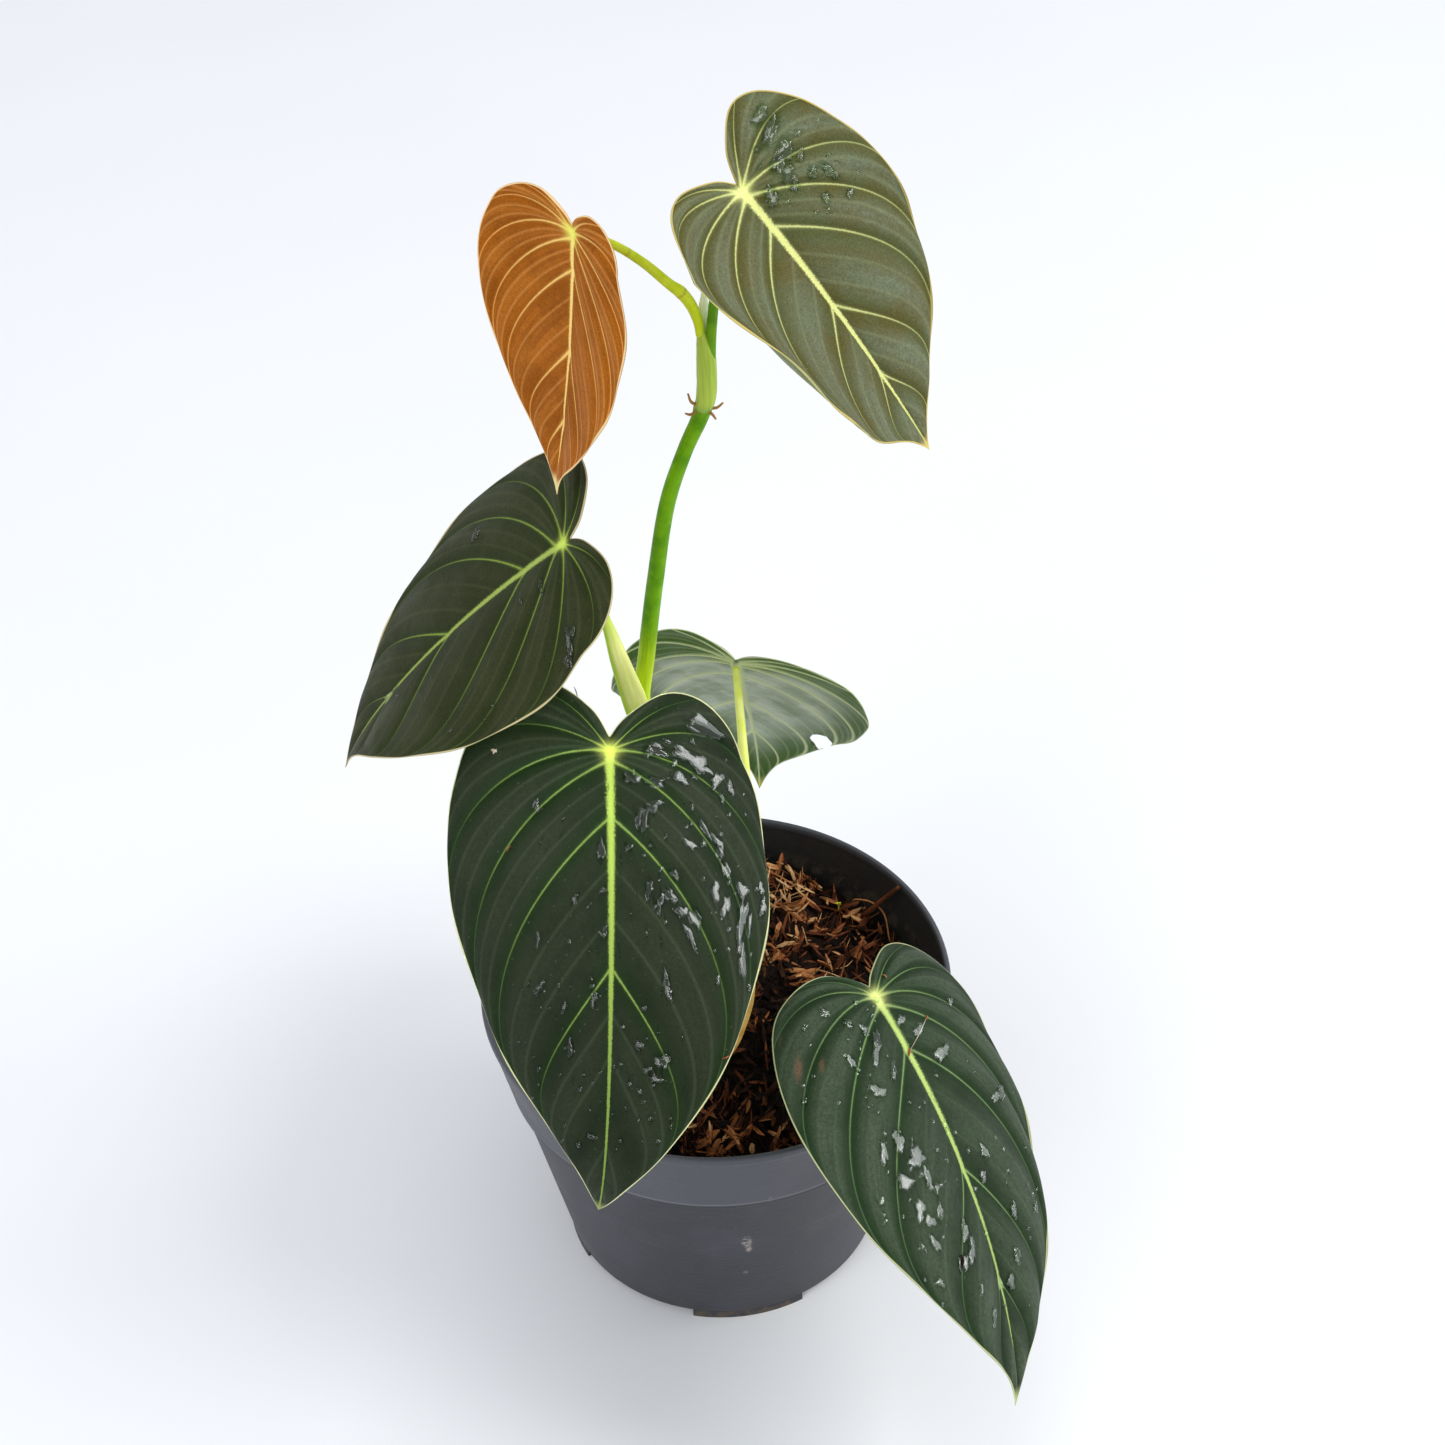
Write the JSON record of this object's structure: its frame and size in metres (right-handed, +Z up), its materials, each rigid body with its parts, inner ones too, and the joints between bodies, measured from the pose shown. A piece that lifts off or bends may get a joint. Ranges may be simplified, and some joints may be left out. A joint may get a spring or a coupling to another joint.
{
  "type": "potted philodendron",
  "caption": "Young climbing philodendron with hanging heart-shaped velvety leaves on a single stem, in a round tapered nursery pot filled with bark mix.",
  "frame": {"origin": "centre of the pot's underside, on the surface that it stands on", "axes": "+Z up along the pot's axis, -Y towards the side that the plant faces, +X to the right seen from there"},
  "size_m": [0.2031, 0.2492, 0.4325],
  "materials": {
    "pot": "satin moulded dark grey plastic",
    "potting_mix": "coarse shredded bark and fern root",
    "stem": "smooth living green stem",
    "stalk": "smooth living yellow-green stalk",
    "dried_sheath": "dry papery",
    "front_leaf": "velvety living leaf",
    "low_right_leaf": "velvety living leaf",
    "left_leaf": "velvety living leaf",
    "top_right_leaf": "velvety living leaf",
    "new_leaf": "velvety living leaf",
    "back_leaf": "velvety living leaf"
  },
  "bodies": {
    "root": {"pot": "pot", "potting_mix": "potting_mix", "main_stem": "stem", "dried_sheath": "dried_sheath", "front_leaf_stalk": "stalk", "front_leaf": "front_leaf", "low_right_leaf_stalk": "stalk", "low_right_leaf": "low_right_leaf", "left_leaf_stalk": "stalk", "left_leaf": "left_leaf", "top_right_leaf_stalk": "stalk", "top_right_leaf": "top_right_leaf", "new_leaf_stalk": "stalk", "new_leaf": "new_leaf", "back_leaf_stalk": "stalk", "back_leaf": "back_leaf"}
  },
  "joints": []
}
